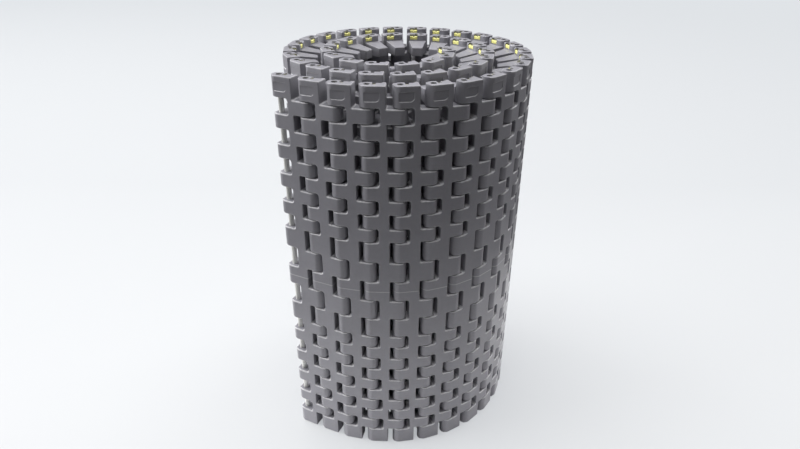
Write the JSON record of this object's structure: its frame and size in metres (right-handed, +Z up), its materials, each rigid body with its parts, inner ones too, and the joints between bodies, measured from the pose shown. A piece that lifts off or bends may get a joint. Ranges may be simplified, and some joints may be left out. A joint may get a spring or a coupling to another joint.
{
  "type": "slat top chain",
  "caption": "Roll of modular plastic conveyor belt: full-width hinged links with drive lugs, hinge pins and pin-retaining clips, standing on its end.",
  "frame": {"origin": "middle of the roll at the level of the surface it stands on", "axes": "+Z up along the hinge pins, -Y towards the side from which the free end is on the left, +X to the right of that view"},
  "size_m": [0.1142, 0.1172, 0.1842],
  "materials": {
    "link": "moulded grey plastic, fine satin",
    "pin": "natural white plastic rod",
    "clip": "yellow plastic"
  },
  "bodies": {
    "coil": {"link_18": "link", "link_19": "link", "link_20": "link", "link_21": "link", "link_22": "link", "link_23": "link", "link_24": "link", "link_25": "link", "link_26": "link", "link_27": "link", "link_28": "link", "link_29": "link", "link_30": "link", "link_31": "link", "link_32": "link", "link_33": "link", "link_34": "link", "link_35": "link", "link_36": "link", "link_37": "link", "link_38": "link", "link_39": "link", "link_40": "link", "link_41": "link", "link_42": "link", "link_43": "link", "link_44": "link", "link_45": "link", "link_46": "link", "link_47": "link", "link_48": "link", "link_49": "link", "link_50": "link", "link_51": "link", "link_52": "link"},
    "hinged_link_01": {"link_01": "link", "hinge_pin_01": "pin", "pin_clips_01": "clip"},
    "hinged_link_02": {"link_02": "link", "hinge_pin_02": "pin", "pin_clips_02": "clip"},
    "hinged_link_03": {"link_03": "link", "hinge_pin_03": "pin", "pin_clips_03": "clip"},
    "hinged_link_04": {"link_04": "link", "hinge_pin_04": "pin", "pin_clips_04": "clip"},
    "hinged_link_05": {"link_05": "link"},
    "hinged_link_06": {"link_06": "link"},
    "hinged_link_07": {"link_07": "link"},
    "hinged_link_08": {"link_08": "link"},
    "hinged_link_09": {"link_09": "link"},
    "hinged_link_10": {"link_10": "link"},
    "hinged_link_11": {"link_11": "link"},
    "hinged_link_12": {"link_12": "link"},
    "hinged_link_13": {"link_13": "link"},
    "hinged_link_14": {"link_14": "link"},
    "hinged_link_15": {"link_15": "link"},
    "hinged_link_16": {"link_16": "link"},
    "hinged_link_17": {"link_17": "link"}
  },
  "joints": [
    {"name": "hinge_18", "type": "hinge", "parent": "coil", "child": "hinged_link_17", "pos_m": [0.00816, 0.05488, 0.0921], "axis": [0, 0, 1], "range_deg": [0, 22.79]},
    {"name": "hinge_17", "type": "hinge", "parent": "hinged_link_17", "child": "hinged_link_16", "pos_m": [0.02036, 0.05137, 0.0921], "axis": [0, 0, 1], "range_deg": [0, 22.95]},
    {"name": "hinge_16", "type": "hinge", "parent": "hinged_link_16", "child": "hinged_link_15", "pos_m": [0.03147, 0.04521, 0.0921], "axis": [0, 0, 1], "range_deg": [0, 23.2]},
    {"name": "hinge_15", "type": "hinge", "parent": "hinged_link_15", "child": "hinged_link_14", "pos_m": [0.04087, 0.03667, 0.0921], "axis": [0, 0, 1], "range_deg": [0, 23.46]},
    {"name": "hinge_14", "type": "hinge", "parent": "hinged_link_14", "child": "hinged_link_13", "pos_m": [0.04803, 0.02618, 0.0921], "axis": [0, 0, 1], "range_deg": [0, 23.63]},
    {"name": "hinge_13", "type": "hinge", "parent": "hinged_link_13", "child": "hinged_link_12", "pos_m": [0.05252, 0.0143, 0.0921], "axis": [0, 0, 1], "range_deg": [0, 23.69]},
    {"name": "hinge_12", "type": "hinge", "parent": "hinged_link_12", "child": "hinged_link_11", "pos_m": [0.05407, 0.0017, 0.0921], "axis": [0, 0, 1], "range_deg": [0, 23.61]},
    {"name": "hinge_11", "type": "hinge", "parent": "hinged_link_11", "child": "hinged_link_10", "pos_m": [0.05261, -0.01092, 0.0921], "axis": [0, 0, 1], "range_deg": [0, 23.39]},
    {"name": "hinge_10", "type": "hinge", "parent": "hinged_link_10", "child": "hinged_link_09", "pos_m": [0.04826, -0.02285, 0.0921], "axis": [0, 0, 1], "range_deg": [0, 23.04]},
    {"name": "hinge_09", "type": "hinge", "parent": "hinged_link_09", "child": "hinged_link_08", "pos_m": [0.04134, -0.0335, 0.0921], "axis": [0, 0, 1], "range_deg": [0, 22.62]},
    {"name": "hinge_08", "type": "hinge", "parent": "hinged_link_08", "child": "hinged_link_07", "pos_m": [0.03226, -0.04238, 0.0921], "axis": [0, 0, 1], "range_deg": [0, 22.15]},
    {"name": "hinge_07", "type": "hinge", "parent": "hinged_link_07", "child": "hinged_link_06", "pos_m": [0.02151, -0.04914, 0.0921], "axis": [0, 0, 1], "range_deg": [0, 21.71]},
    {"name": "hinge_06", "type": "hinge", "parent": "hinged_link_06", "child": "hinged_link_05", "pos_m": [0.00962, -0.05359, 0.0921], "axis": [0, 0, 1], "range_deg": [0, 21.36]},
    {"name": "hinge_05", "type": "hinge", "parent": "hinged_link_05", "child": "hinged_link_04", "pos_m": [-0.00292, -0.05561, 0.0921], "axis": [0, 0, 1], "range_deg": [0, 21.15]},
    {"name": "hinge_04", "type": "hinge", "parent": "hinged_link_04", "child": "hinged_link_03", "pos_m": [-0.01561, -0.05516, 0.0921], "axis": [0, 0, 1], "range_deg": [0, 21.1]},
    {"name": "hinge_03", "type": "hinge", "parent": "hinged_link_03", "child": "hinged_link_02", "pos_m": [-0.02798, -0.05228, 0.0921], "axis": [0, 0, 1], "range_deg": [0, 21.19]},
    {"name": "hinge_02", "type": "hinge", "parent": "hinged_link_02", "child": "hinged_link_01", "pos_m": [-0.03956, -0.04705, 0.0921], "axis": [0, 0, 1], "range_deg": [0, 12.36]}
  ]
}
